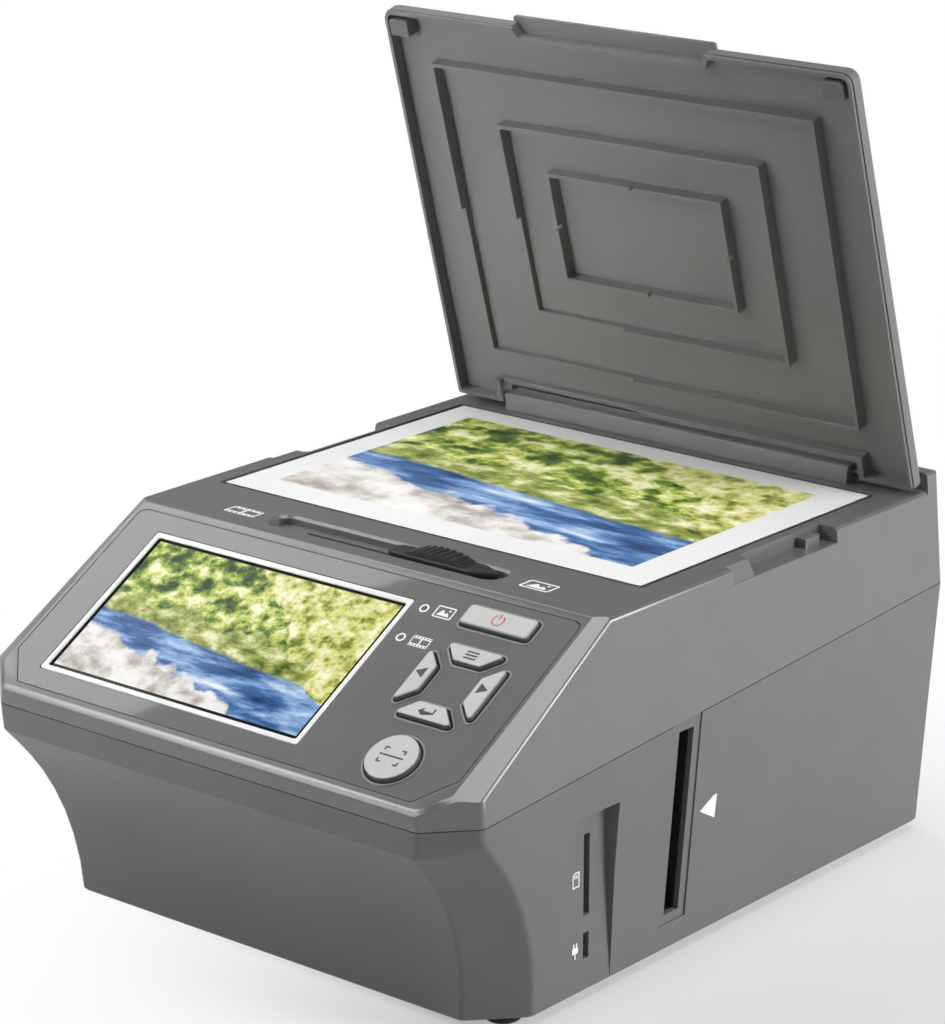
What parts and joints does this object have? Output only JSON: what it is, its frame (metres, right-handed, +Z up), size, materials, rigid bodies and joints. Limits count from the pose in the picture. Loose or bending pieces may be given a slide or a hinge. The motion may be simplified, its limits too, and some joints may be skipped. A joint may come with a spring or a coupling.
{
  "type": "film negative scanner",
  "caption": "Desktop film and photo scanner: moulded body, sloping display panel with keys, glass bed under a hinged ribbed lid, film slot through both sides and a slider for the camera.",
  "frame": {"origin": "on the desk under the middle of the body: the centre of the bounding box's bottom face", "axes": "+X to the operator's right, +Y from the panel towards the hinge, +Z up"},
  "size_m": [0.2074, 0.26, 0.2785],
  "materials": {
    "housing": "satin grey moulded plastic",
    "fascia": "smooth semi-gloss grey plate",
    "white_trim": "smooth white",
    "display": "glossy display surface",
    "keys": "fine matt light grey",
    "opal": "opal, diffusing",
    "circuit_board": "green solder mask",
    "ribbon": "flat cable film",
    "bed_glass": "clear float glass",
    "print": "glossy photographic print",
    "black_plastic": "satin black",
    "inner_plastic": "matt black to keep stray light down",
    "mirror": "front-silvered",
    "lens_glass": "coated lens",
    "steel": "bright zinc or ground steel",
    "rubber": "matt rubber"
  },
  "bodies": {
    "case": {"lower_housing": "housing", "upper_housing": "housing", "fascia": "fascia", "display_frame": "white_trim", "display_panel": "display", "photo_indicator": "opal", "film_indicator": "opal", "key_board": "circuit_board", "key_ribbon": "ribbon", "bed_glass": "bed_glass", "photo_print": "print", "light_strip_left": "circuit_board", "light_strip_right": "circuit_board", "front_guide_rod": "steel", "rear_guide_rod": "steel", "camera_bracket": "inner_plastic", "camera_board": "circuit_board", "camera_lens": "black_plastic", "film_guide": "black_plastic", "film_diffuser": "opal", "film_backlight": "white_trim", "main_board": "circuit_board", "card_socket": "steel", "usb_socket": "steel", "hinge_bar": "housing", "hinge_pin_left": "steel", "hinge_pin_right": "steel", "case_screw_front_left": "steel", "case_screw_front_right": "steel", "case_screw_rear_left": "steel", "case_screw_rear_right": "steel", "foot_front_left": "rubber", "foot_front_right": "rubber", "foot_rear_left": "rubber", "foot_rear_right": "rubber"},
    "lid": {"lid": "housing", "lid_pad_left": "rubber", "lid_pad_right": "rubber"},
    "carriage": {"mode_knob": "black_plastic", "mode_carriage": "inner_plastic", "fold_mirror": "mirror", "closeup_lens": "lens_glass"},
    "power_button": {"power_button": "keys"},
    "menu_key": {"menu_key": "keys"},
    "left_key": {"left_key": "keys"},
    "right_key": {"right_key": "keys"},
    "enter_key": {"enter_key": "keys"},
    "scan_button": {"scan_button": "keys"}
  },
  "joints": [
    {"name": "lid_hinge", "type": "hinge", "parent": "case", "child": "lid", "pos_m": [0, 0.1169, 0.1292], "axis": [-1, 0, 0], "range_deg": [-73.8, 16.2]},
    {"name": "mode_slide", "type": "slide", "parent": "case", "child": "carriage", "axis": [1, 0, 0], "range_m": [-0.052, 0]},
    {"name": "power_press", "type": "slide", "parent": "case", "child": "power_button", "axis": [0, 0.5, -0.866], "range_m": [0, 0.0008], "stiffness_N_per_m": 800},
    {"name": "menu_press", "type": "slide", "parent": "case", "child": "menu_key", "axis": [0, 0.5, -0.866], "range_m": [0, 0.0008], "stiffness_N_per_m": 800},
    {"name": "left_press", "type": "slide", "parent": "case", "child": "left_key", "axis": [0, 0.5, -0.866], "range_m": [0, 0.0008], "stiffness_N_per_m": 800},
    {"name": "right_press", "type": "slide", "parent": "case", "child": "right_key", "axis": [0, 0.5, -0.866], "range_m": [0, 0.0008], "stiffness_N_per_m": 800},
    {"name": "enter_press", "type": "slide", "parent": "case", "child": "enter_key", "axis": [0, 0.5, -0.866], "range_m": [0, 0.0008], "stiffness_N_per_m": 800},
    {"name": "scan_press", "type": "slide", "parent": "case", "child": "scan_button", "axis": [0, 0.5, -0.866], "range_m": [0, 0.0008], "stiffness_N_per_m": 800}
  ]
}
